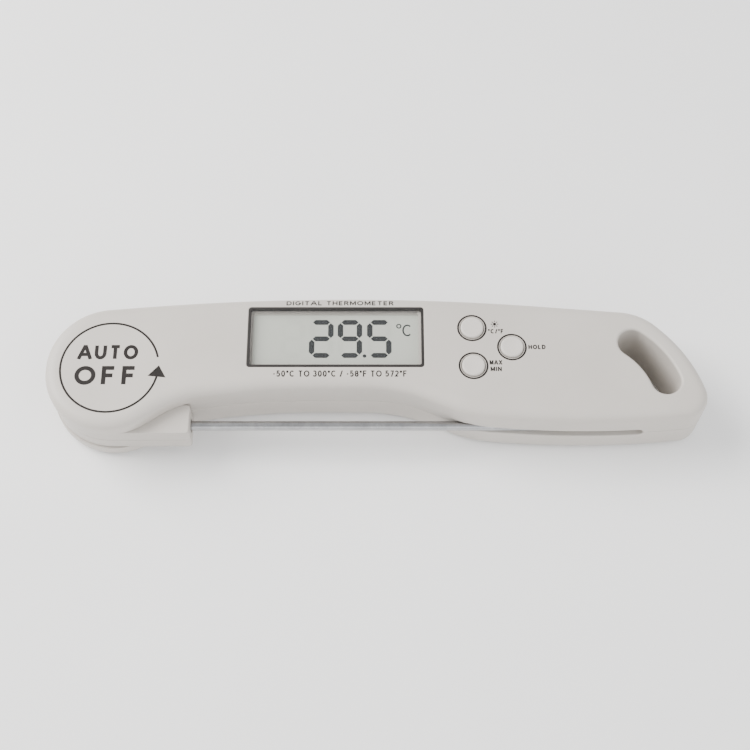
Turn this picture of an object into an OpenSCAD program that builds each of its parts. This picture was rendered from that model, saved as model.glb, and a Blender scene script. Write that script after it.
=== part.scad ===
// Folding meat thermometer: a two-piece case with a display, three keys and a hanging slot,
// and a steel probe that swings out of a groove in the case's lower edge.
// Millimetres. +X runs from the hinge to the hanging slot, +Z through the display.
// The origin is below the middle of the outline, on the plane that the back lies on.

/* [Body] */
// Length of the case, folded
body_l = 172; // [170:1:176]
// Width across the round end and the arched top edge
body_w = 38; // [38:0.5:39]
// Thickness of the case
body_t = 19; // [19:0.5:20]
// Radius of the round hinge end
pivot_r = 17; // [17:0.1:17.2]
// Wall around the electronics
wall = 2.2; // [2:0.1:2.3]
// Thickness of the front and back skins
skin = 1.8; // [1.7:0.1:1.9]
// Rounding of the front and back edges
edge_r = 2.2; // [1.8:0.1:2.4]

/* [Display] */
// Length of the framed display
window_l = 45.6; // [44:0.2:46]
// Height of the framed display
window_w = 16.9; // [16:0.1:17]

/* [Keys] */
// Radius of a key
key_r = 3.0; // [2.8:0.1:3.1]
// How far a key stands out of the front
key_proud = 0.6; // [0.3:0.1:0.8]
// How far a key travels
key_travel = 0.8; // [0.5:0.1:0.8]

/* [Probe] */
// Distance from the hinge's centre to the probe's tip
probe_reach = 137; // [130:1:138]
// Radius of the probe's tube
rod_r = 1.25; // [1.1:0.05:1.4]
// Radius of the thin tip
tip_r = 0.8; // [0.7:0.05:0.9]
// Length of the thin tip
tip_l = 19; // [14:1:24]
// Distance from the hinge's centre to the end of the arm
arm_reach = 20.9; // [20:0.1:21]

/* [Hanging slot] */
// Width of the slot
slot_w = 7.7; // [6:0.1:8]

/* [Battery] */
// Radius of the battery cover's flange
cover_r = 12.3; // [12.2:0.1:12.6]

/* [Hidden] */
$fn = 48;

// Heights above the back
mid_z = body_t / 2;
face_z = body_t - skin;
hub_t = 9;
hub_lo = mid_z - hub_t / 2;
hub_hi = mid_z + hub_t / 2;
hub_gap = 0.15;
board_lo = 11;
board_t = 1.6;
board_hi = board_lo + board_t;

// Plan positions, from the hinge's centre
right_x = body_l - pivot_r;
top_y = body_w - pivot_r;
window_at = [58.7, 8.85];
key_at = [[94.5, 11.4], [104.8, 5.8], [94.6, 0.4]];
battery_at = [114, 3.8];
screw_at = [
    [24.5, 14.3], [25.5, -2.4], [87, 15.8], [88, -4.6],
    [129.2, 11], [128, -5.4], [right_x - 4.8, -9.4]
];
magnet_at = [[42, 7.5], [74, 7.5]];
magnet_r = 5;
rod_y = -12.5;

// Hinge
hub_r = 16.6;
pocket_r = pivot_r + 0.2;
bay_r = pocket_r + wall;
trunnion_r = 4.5;
bush_in = trunnion_r + 0.05;
bush_out = 5.4;
arm_top = rod_y + 4.1;
arm_slack = 0.3;

// Probe groove in the lower edge
groove_half = 1.6;
groove_top = -10.8;
groove_from = 78;
bay_end = 130.4;

// Hanging slot: an arc-shaped slot, from a centre below and left of it
slot_centre = [right_x - 32.1, -10.9];
slot_arc_r = 22.7;
slot_from = 18.7;
slot_to = 52.9;

// Screws
screw_shank = 0.98;
post_r = 1.8;
board_screw_at = [[31.5, 15], [31.5, -0.2], [107.6, -3.6]];
screw_bore = 1.0;
boss_r = 2.6;
head_r = 1.9;
head_pocket = 2.05;

// Window
bezel_w = 0.7;
lens_t = 1.2;

// Battery cover
cover_gap = 0.25;
flange_t = 2;
plug_r = 11;
plug_top = 4.2;
cover_bore = plug_r + 0.2;
cell_r = 10;
cell_t = 3.2;
cell_lo = 4.45;

// Case outline: corners as [x, y, fillet radius], clockwise from the hinge's centre
waist_a = 34.4;
waist_x = 18.1;
OUTLINE = [
    [-pivot_r, -pivot_r * (tan(waist_a) + 1 / cos(waist_a)), pivot_r],
    [-pivot_r, top_y - 4.6, pivot_r],
    [59.5, top_y + 2.2, 620],
    [right_x - 15.3, top_y - 4.4, 15.3],
    [right_x - 3.2, 4.4, 39],
    [right_x + 2, -12.8, 6.2],
    [right_x - 30.5, -15.9, 255],
    [94.4, -13.3, 32],
    [75, -5.3, 44],
    [40.5, -5.3, 190],
    [waist_x, waist_x * tan(waist_a) - pivot_r / cos(waist_a), 26]
];
chord_error = 0.04;

function unit(v) = v / norm(v);
function inner_normal(u) = [u[1], -u[0]];
function corner(i) = OUTLINE[(i + len(OUTLINE)) % len(OUTLINE)];
function point(i) = [corner(i)[0], corner(i)[1]];
function heading(i) = unit(point(i + 1) - point(i));
function turn(i) =
    let (a = heading(i - 1), b = heading(i))
    atan2(a[0] * b[1] - a[1] * b[0], a * b);
function arc_steps(i) = max(2, ceil(abs(turn(i)) / (57.3 * sqrt(8 * chord_error / corner(i)[2]))));

// The rounded corner i of the outline, moved inwards by d
function rounded_corner(i, d) =
    let (
        a = heading(i - 1),
        na = inner_normal(a),
        nb = inner_normal(heading(i)),
        v = point(i) + d * (na + nb) / (1 + na * nb),
        side = turn(i) < 0 ? 1 : -1,
        r = corner(i)[2] - side * d,
        start = v - a * r * tan(abs(turn(i)) / 2),
        c = start + side * r * na,
        first = start - c
    )
    [for (k = [0 : arc_steps(i)])
        let (t = turn(i) * k / arc_steps(i))
        c + [first[0] * cos(t) - first[1] * sin(t), first[0] * sin(t) + first[1] * cos(t)]];
function outline(d) = [for (i = [0 : len(OUTLINE) - 1]) each rounded_corner(i, d)];

// Puts what is drawn from the hinge's centre into the part's frame
module placed() {
    translate([pivot_r - body_l / 2, pivot_r - body_w / 2, 0]) children();
}

// Triangles that fill the outline: a strip between its upper side, from i, and its lower side, from j
function strip(p, i, j) =
    let (n = len(p), up = (i + 1) % n, low = (j + n - 1) % n)
    up == j ? []
    : p[low][0] < p[up][0] ? concat([[i, low, j]], strip(p, i, low))
    : concat([[i, up, j]], strip(p, up, j));
function filled(p) = strip(p, arc_steps(0) + 1, arc_steps(0));

// Solid between rings of the outline; each ring is [inset, height], from the lowest up
module rings_solid(rings) {
    loops = [for (ring = rings) outline(ring[0])];
    n = len(loops[0]);
    last = len(rings) - 1;
    points = [for (k = [0 : last]) each [for (p = loops[k]) [p[0], p[1], rings[k][1]]]];
    sides = [for (k = [0 : last - 1], i = [0 : n - 1])
        let (a = k * n + i, b = k * n + (i + 1) % n)
        each [[a, b, b + n], [a, b + n, a + n]]];
    bottom = [for (t = filled(loops[0])) [t[2], t[1], t[0]]];
    top = [for (t = filled(loops[last])) t + last * n * [1, 1, 1]];
    polyhedron(points, concat(sides, bottom, top), convexity = 6);
}
edge_steps = 4;
function edge_rings(low) = [for (k = [0 : edge_steps])
    let (a = 90 * k / edge_steps)
    low ? [edge_r * (1 - sin(a)), edge_r * (1 - cos(a))]
        : [edge_r * (1 - cos(a)), body_t - edge_r * (1 - sin(a))]];

module cyl(at, r, z0, z1) {
    translate([at[0], at[1], z0]) cylinder(r = r, h = z1 - z0);
}
module slab(z0, z1) {
    translate([0, 0, z0]) linear_extrude(z1 - z0) children();
}
module box(x0, x1, y0, y1, z0, z1) {
    translate([x0, y0, z0]) cube([x1 - x0, y1 - y0, z1 - z0]);
}
module area(x0, x1, y0, y1) {
    translate([x0, y0]) square([x1 - x0, y1 - y0]);
}
module plate(at, l, w, z0, z1) {
    box(at[0] - l / 2, at[0] + l / 2, at[1] - w / 2, at[1] + w / 2, z0, z1);
}

// Round-ended slot bent along an arc
module slot_2d(w) {
    translate(slot_centre) {
        intersection() {
            difference() {
                circle(r = slot_arc_r + w / 2, $fn = 120);
                circle(r = slot_arc_r - w / 2, $fn = 120);
            }
            polygon([
                [0, 0],
                60 * [cos(slot_from), sin(slot_from)],
                60 * [cos(slot_to), sin(slot_to)]
            ]);
        }
        for (a = [slot_from, slot_to]) translate(slot_arc_r * [cos(a), sin(a)]) circle(r = w / 2);
    }
}

// Plan of the space for the electronics, grown by g
module bay_2d(g) {
    difference() {
        polygon(outline(wall - g));
        circle(r = bay_r - g, $fn = 96);
        area(-body_w, arm_reach + arm_slack + wall - g, -body_w, arm_top + arm_slack + wall - g);
        area(groove_from, body_l, -body_w, groove_top + wall - g);
        area(bay_end + g, body_l, -body_w, body_w);
    }
}

// Room for the hub and for the arm beside it, from z0 to z1
module hinge_room(z0, z1) {
    translate([0, 0, z0]) cylinder(r = pocket_r, h = z1 - z0, $fn = 96);
    box(-pivot_r - 5, 4, 0, pivot_r + 5, z0, z1);
    box(0, arm_reach + arm_slack, -pivot_r - 5, arm_top + arm_slack, z0, z1);
}

// Groove that takes the folded probe, open along the lower edge
module probe_groove() {
    box(groove_from, probe_reach + 2, -30, groove_top, mid_z - groove_half, mid_z + groove_half);
}

// ---------------------------------------------------------------- case

module front_case() {
    color("gainsboro") placed() difference() {
        union() {
            difference() {
                rings_solid(concat([[0, mid_z]], edge_rings(false)));
                slab(mid_z - 1, face_z) bay_2d(0);
            }
            for (p = screw_at) cyl(p, boss_r, mid_z, face_z + 0.1);
            for (p = board_screw_at) cyl(p, post_r, board_hi, face_z + 0.1);
        }
        hinge_room(mid_z - 1, hub_hi + hub_gap);
        for (p = board_screw_at) cyl(p, 0.82, board_hi - 1, board_hi + 2.5);
        cyl([0, 0], bush_out, hub_hi, face_z);
        box(0, bay_r + 1, -1.3, 1.3, hub_hi, face_z);
        probe_groove();
        plate(window_at, window_l - 2, window_w - 2, face_z - 1, body_t + 1);
        plate(window_at, window_l + bezel_w, window_w + bezel_w, body_t - lens_t, body_t + 1);
        for (p = key_at) cyl(p, key_r + 0.15, face_z - 1, body_t + 1);
        for (p = screw_at) cyl(p, screw_bore, mid_z - 1, mid_z + 5.5);
        slab(mid_z - 1, body_t + 1) slot_2d(slot_w);
    }
}

module back_case() {
    color("gainsboro") placed() difference() {
        union() {
            difference() {
                rings_solid(concat(edge_rings(true), [[0, mid_z]]));
                slab(skin, mid_z + 1) bay_2d(0);
            }
            for (p = screw_at) cyl(p, boss_r, skin - 0.1, mid_z);
            cyl(battery_at, cover_bore + 2, skin - 0.1, plug_top + 1);
            for (p = magnet_at) cyl(p, magnet_r + 1.2, skin - 0.1, skin + 1.4);
        }
        hinge_room(hub_lo - hub_gap, mid_z + 1);
        cyl([0, 0], bush_out, skin, hub_lo);
        cyl([0, 0], 9.2, hub_lo - 0.65, hub_lo);
        probe_groove();
        cyl(battery_at, cover_bore, -1, plug_top + 2);
        cyl(battery_at, cover_r + 0.2, -1, cover_gap + flange_t + 0.1);
        for (p = magnet_at) cyl(p, magnet_r + 0.05, -1, 2.0);
        for (p = screw_at) {
            cyl(p, screw_bore + 0.15, -1, mid_z + 1);
            cyl(p, head_pocket, -1, 3);
        }
        slab(-1, mid_z + 1) slot_2d(slot_w);
        slab(mid_z - 0.9, mid_z + 1) difference() {
            bay_2d(1.55);
            bay_2d(0.65);
        }
    }
}

module case_gasket() {
    color("dimgray") placed() slab(mid_z - 0.88, mid_z - 0.02) difference() {
        bay_2d(1.5);
        bay_2d(0.7);
    }
}

// Pan-head screw, head down, with a cross recess
module screw(head, shank, z_head, z_tip, cross) {
    difference() {
        union() {
            cyl([0, 0], head, z_head, z_head + head * 0.7);
            cyl([0, 0], shank, z_head + head * 0.7 - 0.1, z_tip);
        }
        for (a = [0, 90]) rotate(a)
            box(-cross, cross, -cross / 4, cross / 4, z_head - 1, z_head + cross * 0.6);
    }
}

module case_screws() {
    color("silver") placed() for (p = screw_at) translate([p[0], p[1], 0])
        screw(head_r, screw_shank, 1.65, mid_z + 5, 1.1);
}

module back_magnets() {
    color("darkgray") placed() for (p = magnet_at) cyl(p, magnet_r, 0.1, 1.95);
}

// ---------------------------------------------------------------- display

module display_bezel() {
    color("dimgray") placed() difference() {
        plate(window_at, window_l + bezel_w - 0.04, window_w + bezel_w - 0.04, body_t - lens_t, body_t);
        plate(window_at, window_l - bezel_w, window_w - bezel_w, body_t - lens_t - 1, body_t + 1);
    }
}

module display_window() {
    color("white", 0.35) placed()
        plate(window_at, window_l - bezel_w - 0.06, window_w - bezel_w - 0.06, body_t - lens_t, body_t - 0.1);
}

lcd_l = 45.4;
lcd_w = 17.6;
lcd_at = [58.7, 8.6];
lcd_hi = face_z - 0.05;
lcd_t = 2.1;
backlight_t = 1.7;

module lcd_panel() {
    color("darkseagreen") placed() plate(lcd_at, lcd_l, lcd_w, lcd_hi - lcd_t, lcd_hi);
}

module backlight() {
    color("white") placed() {
        plate(lcd_at, lcd_l - 1, lcd_w - 4.4, lcd_hi - lcd_t - backlight_t, lcd_hi - lcd_t);
        plate(lcd_at - [lcd_l / 2 - 1.5, 0], 2, 5, board_hi, lcd_hi - lcd_t - backlight_t);
    }
}

module zebra_strip() {
    color("pink") placed() for (s = [-1, 1])
        plate(lcd_at + [0, s * (lcd_w / 2 - 1)], lcd_l - 4, 1.6, board_hi, lcd_hi - lcd_t);
}

module lcd_holder() {
    color("black") placed() difference() {
        plate(lcd_at, lcd_l + 1.6, lcd_w + 1.2, board_hi, lcd_hi - 0.4);
        plate(lcd_at, lcd_l + 0.1, lcd_w + 0.1, board_hi - 1, face_z);
    }
}

// ---------------------------------------------------------------- electronics

board_left = 20.6;
board_right = 110.5;

module board_2d() {
    difference() {
        intersection() {
            bay_2d(-0.4);
            area(board_left, board_right, -body_w, body_w);
        }
        for (p = screw_at) translate(p) circle(r = boss_r + 0.3);
        for (p = board_screw_at) translate(p) circle(r = 0.85);
    }
}

module circuit_board() {
    color("darkgreen") placed() slab(board_lo, board_hi) board_2d();
}

module board_screws() {
    color("silver") placed() for (p = board_screw_at) translate([p[0], p[1], 0])
        screw(1.5, 0.8, board_lo - 1.05, board_hi + 1.5, 0.8);
}

module processor_blob() {
    color("black") placed() translate([64, 8, board_lo]) rotate([180, 0, 0]) rotate_extrude() polygon([
        [0, 0], [5.4, 0], [5.2, 0.6], [4.3, 1.3], [2.8, 1.8], [0, 2]]);
}

module board_components() {
    color("saddlebrown") placed() {
        for (k = [0 : 4]) box(40 + 3.2 * k, 41.8 + 3.2 * k, 1.5, 2.5, board_lo - 0.7, board_lo);
        for (k = [0 : 3]) box(78, 79, 2 + 2.6 * k, 3.8 + 2.6 * k, board_lo - 0.7, board_lo);
        cyl([48, 12.5], 2.4, board_lo - 3.2, board_lo);
        box(52.5, 56.5, 11, 14.5, board_lo - 1.6, board_lo);
    }
}

// Glass reed switch beside the hub, on two wire legs
module reed_switch() {
    color("palegreen") placed() {
        translate([28.4, 1.2, board_hi + 1.1]) rotate([-90, 0, 0]) cylinder(r = 0.9, h = 10);
        for (y = [0.4, 12]) cyl([28.4, y], 0.25, board_hi, board_hi + 1.1);
        for (y = [0.4, 11.1]) translate([28.4, y, board_hi + 1.1])
            rotate([-90, 0, 0]) cylinder(r = 0.25, h = 0.9);
    }
}

// ---------------------------------------------------------------- keys

web_lo = board_hi + 1;
web_hi = web_lo + 1.4;
key_flange = [web_hi + 0.6, web_hi + 1.6];

module keypad_base() {
    color("lightgray") placed() difference() {
        slab(board_hi, web_lo) intersection() {
            area(87.4, 110, -4.9, 16.1);
            difference() {
                bay_2d(-0.6);
                for (p = screw_at) translate(p) circle(r = boss_r + 0.5);
                for (p = board_screw_at) translate(p) circle(r = post_r + 0.2);
            }
        }
        for (p = key_at) cyl(p, 2.3, board_hi - 1, web_lo + 1);
    }
}

// Thin sloping collar that carries a key and folds when it is pressed
module web(k) {
    color("lightgray") placed() translate([key_at[k][0], key_at[k][1], 0]) rotate_extrude() polygon([
        [3.9, web_lo], [4.4, web_lo], [2.7, web_hi - 0.05], [2.2, web_hi - 0.05]]);
}
module light_web() web(0);
module hold_web() web(1);
module memory_web() web(2);

module key(k) {
    top = body_t + key_proud;
    color("whitesmoke") placed() translate([key_at[k][0], key_at[k][1], 0]) rotate_extrude($fn = 64) polygon([
        [0, board_hi + 1.6], [1.7, board_hi + 1.6], [1.7, web_hi], [key_r, web_hi],
        [key_r, key_flange[0]], [4, key_flange[0]], [4, key_flange[1]], [key_r, key_flange[1]],
        [key_r, top - 0.35], [key_r - 0.1, top - 0.12], [key_r - 0.4, top], [0, top]]);
}
module light_key() key(0);
module hold_key() key(1);
module memory_key() key(2);

// Carbon pill under a key, which closes the contact on the board
module pill(k) {
    color("black") placed() cyl(key_at[k], 1.5, board_hi + key_travel + 0.3, board_hi + 1.6);
}
module light_pill() pill(0);
module hold_pill() pill(1);
module memory_pill() pill(2);

// ---------------------------------------------------------------- battery

holder_lo = plug_top + 1;
holder_hi = cell_lo + cell_t + 1.2;

module battery_holder() {
    color("black") placed() difference() {
        cyl(battery_at, cell_r + 1.9, holder_lo, holder_hi);
        cyl(battery_at, cell_r + 0.2, holder_lo - 1, cell_lo + cell_t + 0.3);
        cyl(battery_at, 5, holder_lo, holder_hi + 1);
        plate(battery_at - [cell_r + 1, 0], 4, 4.4, holder_lo - 1, holder_hi + 1);
    }
}

module coin_cell() {
    color("silver") placed() {
        cyl(battery_at, cell_r, cell_lo, cell_lo + cell_t - 0.5);
        cyl(battery_at, cell_r - 1.2, cell_lo + cell_t - 0.5, cell_lo + cell_t);
    }
}

// Spring strip that presses on the cell's rim, with its foot on the board
module battery_plus_contact() {
    x = battery_at[0] - cell_r - 0.05;
    color("gold") placed() {
        box(x - 0.35, x, battery_at[1] - 1.8, battery_at[1] + 1.8, cell_lo + 0.8, board_lo);
        box(x - 0.35, x + 2.4, battery_at[1] - 1.8, battery_at[1] + 1.8, board_lo - 0.35, board_lo);
    }
}

// Spring strip from the board down to the cell's middle
module battery_minus_contact() {
    x = battery_at[0];
    z = cell_lo + cell_t;
    color("gold") placed() translate([0, battery_at[1] + 1.4, 0]) rotate([90, 0, 0])
        linear_extrude(2.8) polygon([
        [x - 6.5, board_lo], [x - 6.5, board_lo - 0.35], [x - 4.2, board_lo - 0.35], [x - 1.5, z],
        [x + 1.5, z], [x + 1.7, z + 0.35], [x - 1.3, z + 0.35], [x - 3.8, board_lo]]);
}

module battery_cover() {
    groove = [2.75, 3.95];
    color("gainsboro") placed() difference() {
        union() {
            cyl(battery_at, cover_r, cover_gap, cover_gap + flange_t);
            cyl(battery_at, plug_r, cover_gap + flange_t - 0.1, plug_top);
        }
        plate(battery_at, 15, 2, -1, cover_gap + 1.2);
        cyl(battery_at, 8.6, cover_gap + flange_t + 0.2, plug_top + 1);
        difference() {
            cyl(battery_at, plug_r + 1, groove[0], groove[1]);
            cyl(battery_at, 9.9, groove[0] - 1, groove[1] + 1);
        }
    }
}

module cover_seal() {
    color("dimgray") placed() translate([battery_at[0], battery_at[1], 3.35])
        rotate_extrude() translate([10.53, 0]) circle(r = 0.57, $fn = 24);
}

// ---------------------------------------------------------------- hinge

module pivot_bushes() {
    color("goldenrod") placed() difference() {
        union() {
            cyl([0, 0], bush_out, skin + 0.05, hub_lo - 0.75);
            cyl([0, 0], bush_out, hub_hi + 0.25, face_z - 1.2);
        }
        cyl([0, 0], bush_in, 0, body_t);
    }
}

module friction_washer() {
    color("silver") placed() difference() {
        cyl([0, 0], 9, hub_lo - 0.6, hub_lo - 0.05);
        cyl([0, 0], 5.7, hub_lo - 2, hub_lo + 1);
    }
}

// Plan of the hub with the arm that holds the probe
module arm_2d() {
    circle(r = hub_r, $fn = 96);
    translate([0, -hub_r]) square([arm_reach, arm_top + hub_r]);
}

// What both arm shells leave free: wire chamber, probe seat, ferrule seat and lightening pocket
module arm_hollows() {
    cyl([0, 0], 3.2, mid_z - 2, mid_z + 2);
    box(-0.9, 0.9, rod_y - 0.9, 0, mid_z - 0.9, mid_z + 0.9);
    box(-0.9, 6.1, rod_y - 0.9, rod_y + 0.9, mid_z - 0.9, mid_z + 0.9);
    translate([6, rod_y, mid_z]) rotate([0, 90, 0]) cylinder(r = rod_r + 0.02, h = 30);
    translate([9, rod_y, mid_z]) rotate([0, 90, 0]) cylinder(r = 2.42, h = 3.1);
    difference() {
        cyl([0, 0], hub_r - 2, mid_z - 2.8, mid_z + 2.8);
        cyl([0, 0], 9, mid_z - 4, mid_z + 4);
        box(-30, 30, -30, 5, mid_z - 4, mid_z + 4);
    }
    cyl(hub_magnet_at, 1.55, mid_z - 2, mid_z + 2);
}
hub_magnet_at = [13.4, 1.5];
arm_screw_at = [[-12, -3], [9.5, -5.4]];

module probe_arm_front() {
    color("gainsboro") placed() difference() {
        union() {
            slab(mid_z, hub_hi) arm_2d();
            cyl([0, 0], trunnion_r, hub_hi - 0.1, face_z - 1.2);
        }
        arm_hollows();
        cyl([0, 0], 3.2, mid_z - 1, body_t);
        difference() {
            cyl([0, 0], 8, hub_hi - 0.95, hub_hi + 0.05);
            cyl([0, 0], 6.2, hub_hi - 2, hub_hi + 1);
        }
        for (p = arm_screw_at) cyl(p, 0.75, mid_z - 1, hub_hi - 1.2);
    }
}

module probe_arm_back() {
    color("gainsboro") placed() difference() {
        union() {
            slab(hub_lo, mid_z) arm_2d();
            cyl([0, 0], trunnion_r, skin + 0.3, hub_lo + 0.1);
        }
        arm_hollows();
        for (p = arm_screw_at) {
            cyl(p, 0.85, hub_lo - 1, mid_z + 1);
            cyl(p, 1.55, hub_lo - 1, hub_lo + 1.3);
        }
    }
}

module arm_screws() {
    color("silver") placed() for (p = arm_screw_at) translate([p[0], p[1], 0])
        screw(1.45, 0.73, hub_lo + 0.28, hub_hi - 1.4, 0.7);
}

module hub_magnet() {
    color("darkgray") placed() cyl(hub_magnet_at, 1.5, mid_z - 1.9, mid_z + 1.9);
}

module hub_seal() {
    color("dimgray") placed() translate([0, 0, hub_hi - 0.43])
        rotate_extrude() translate([7.1, 0]) circle(r = 0.5, $fn = 24);
}

// ---------------------------------------------------------------- probe

taper_l = 6;
point_l = 2.6;
rod_from = 6.2;

module probe_tube() {
    taper_at = probe_reach - tip_l - taper_l;
    color("silver") placed() translate([0, rod_y, mid_z]) rotate([0, 90, 0])
        rotate_extrude($fn = 32) polygon([
        [rod_r - 0.3, rod_from], [rod_r, rod_from], [rod_r, taper_at], [tip_r, taper_at + taper_l],
        [tip_r, probe_reach - point_l], [0.06, probe_reach], [0, probe_reach],
        [0, probe_reach - point_l], [tip_r - 0.25, probe_reach - point_l - 0.5],
        [tip_r - 0.25, taper_at + taper_l], [rod_r - 0.3, taper_at]]);
}

module probe_ferrule() {
    color("silver") placed() translate([9.05, rod_y, mid_z]) rotate([0, 90, 0]) difference() {
        cylinder(r = 2.4, h = 3);
        translate([0, 0, -1]) cylinder(r = rod_r + 0.01, h = 5);
    }
}

module temperature_sensor() {
    color("black") placed() translate([probe_reach - point_l - 3, rod_y, mid_z]) rotate([0, 90, 0])
        cylinder(r = 0.42, h = 2, $fn = 24);
}

// Round tube with few sides along a path
module lead(path, r, sides = 8) {
    n = len(path);
    ref = unit([0.31, 0.87, 0.38]);
    rings = [for (i = [0 : n - 1])
        let (
            t = unit(path[min(i + 1, n - 1)] - path[max(i - 1, 0)]),
            u = unit(cross(t, ref)),
            v = cross(t, u)
        )
        each [for (k = [0 : sides - 1])
            let (a = 360 * k / sides)
            path[i] + r * (cos(a) * u + sin(a) * v)]];
    sides_faces = [for (i = [0 : n - 2], k = [0 : sides - 1])
        [i * sides + k, i * sides + (k + 1) % sides, (i + 1) * sides + (k + 1) % sides, (i + 1) * sides + k]];
    start = [for (k = [sides - 1 : -1 : 0]) k];
    end = [for (k = [0 : sides - 1]) (n - 1) * sides + k];
    polyhedron(rings, concat(sides_faces, [start, end]));
}

// The sensor's two leads: out of the tube and up the hub's middle
lead_r = 0.22;
module sensor_leads() {
    color("firebrick") placed() for (s = [-1, 1]) lead([
        [probe_reach - point_l - 3.1, rod_y + s * 0.24, mid_z],
        [probe_reach - tip_l, rod_y + s * 0.25, mid_z],
        [60, rod_y + s * 0.3, mid_z],
        [3, rod_y + s * 0.35, mid_z],
        [1 + s * 0.4, rod_y + 0.1 + s * 0.37, mid_z],
        [s * 0.45, rod_y + 1 + s * 0.4, mid_z],
        [s * 0.4, -4, mid_z],
        [s * 0.5, -1, mid_z + 0.3],
        [s * 0.6, 0, mid_z + 1.5],
        [s * 0.6, 0, face_z - 1.25]], lead_r);
}

// The same leads inside the case: from the hinge's middle to the board
module board_leads() {
    color("firebrick") placed() for (s = [-1, 1]) lead([
        [s * 0.6, 0, face_z - 1.15],
        [0.2 + s * 0.7, -s * 0.35, face_z - 0.65],
        [1.2 + s * 0.6, -s * 0.6, face_z - 0.45],
        [6, -s * 0.6, face_z - 0.5],
        [18, -s * 0.6, face_z - 0.5],
        [21, 0.4 - s * 0.7, face_z - 1.2],
        [22.6, 0.7 - s * 0.8, board_hi + 2],
        [23.4, 0.8 - s * 0.9, board_hi]], lead_r);
}

front_case();
back_case();
case_gasket();
case_screws();
display_bezel();
display_window();
lcd_panel();
lcd_holder();
backlight();
zebra_strip();
circuit_board();
processor_blob();
board_components();
reed_switch();
board_screws();
keypad_base();
light_web();
hold_web();
memory_web();
light_key();
hold_key();
memory_key();
light_pill();
hold_pill();
memory_pill();
battery_holder();
coin_cell();
battery_plus_contact();
battery_minus_contact();
battery_cover();
cover_seal();
back_magnets();
pivot_bushes();
friction_washer();
board_leads();
probe_arm_front();
probe_arm_back();
arm_screws();
probe_tube();
probe_ferrule();
temperature_sensor();
sensor_leads();
hub_magnet();
hub_seal();
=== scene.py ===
import math

import bmesh
import bpy
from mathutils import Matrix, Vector
from mathutils.bvhtree import BVHTree


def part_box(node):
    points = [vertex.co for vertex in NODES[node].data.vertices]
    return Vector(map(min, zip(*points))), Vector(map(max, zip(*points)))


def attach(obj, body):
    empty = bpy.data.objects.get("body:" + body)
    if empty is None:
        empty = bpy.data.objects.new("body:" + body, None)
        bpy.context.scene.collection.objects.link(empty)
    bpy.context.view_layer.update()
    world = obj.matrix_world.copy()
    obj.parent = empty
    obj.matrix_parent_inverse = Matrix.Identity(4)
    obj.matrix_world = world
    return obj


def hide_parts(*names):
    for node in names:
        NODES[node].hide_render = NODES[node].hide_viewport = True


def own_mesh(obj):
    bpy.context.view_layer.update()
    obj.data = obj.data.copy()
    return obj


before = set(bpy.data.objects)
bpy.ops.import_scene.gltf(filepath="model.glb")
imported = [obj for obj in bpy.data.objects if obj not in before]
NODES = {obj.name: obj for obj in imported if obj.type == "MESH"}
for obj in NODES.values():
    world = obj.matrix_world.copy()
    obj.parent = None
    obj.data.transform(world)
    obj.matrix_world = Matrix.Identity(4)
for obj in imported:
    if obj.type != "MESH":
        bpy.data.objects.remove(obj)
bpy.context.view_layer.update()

# Plan positions below are millimetres from the hinge's centre, heights are millimetres above the back.
MM = 0.001


def middle(node):
    """Middle of a CAD node's plan, in the row frame's millimetres."""
    low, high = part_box(node)
    return (low.x + high.x) / 2 / MM, (low.y + high.y) / 2 / MM


HINGE = middle("friction_washer")


def from_hinge(node):
    """Middle of a CAD node's plan, measured from the hinge."""
    x, y = middle(node)
    return x - HINGE[0], y - HINGE[1]


def heights(node):
    """Lowest and highest point of a CAD node."""
    low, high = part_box(node)
    return low.z / MM, high.z / MM


def at(x, y, z):
    """Point in the frame's metres."""
    return Vector(((HINGE[0] + x) * MM, (HINGE[1] + y) * MM, z * MM))


TOP = heights("front_case")[1]
MID = heights("front_case")[0]
BATTERY = from_hinge("battery_cover")
KEYS = {name: from_hinge(name + "_key") for name in ("light", "hold", "memory")}
WINDOW = from_hinge("display_bezel")
ROD_Y = from_hinge("probe_tube")[1]

# ---------------------------------------------------------------- outlines

# Corners of the case's and the arm's outlines as (x, y, radius), the same as the CAD has
WAIST = math.radians(34.4)
OUTLINE = [
    (-17, -17 * (math.tan(WAIST) + 1 / math.cos(WAIST)), 17),
    (-17, 16.4, 17),
    (59.5, 23.2, 620),
    (139.7, 16.6, 15.3),
    (151.8, 4.4, 39),
    (157, -12.8, 6.2),
    (124.5, -15.9, 255),
    (94.4, -13.3, 32),
    (75, -5.3, 44),
    (40.5, -5.3, 190),
    (18.1, 18.1 * math.tan(WAIST) - 17 / math.cos(WAIST), 26),
]
ARM = [
    (-16.6, -16.6, 16.6),
    (-16.6, 16.6, 16.6),
    (16.6, 16.6, 16.6),
    (16.6, -4.51, 16.6),
    (14.32, -8.4, 0.3),
    (20.9, -8.4, 1.0),
    (20.9, -16.6, 1.0),
]


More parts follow.
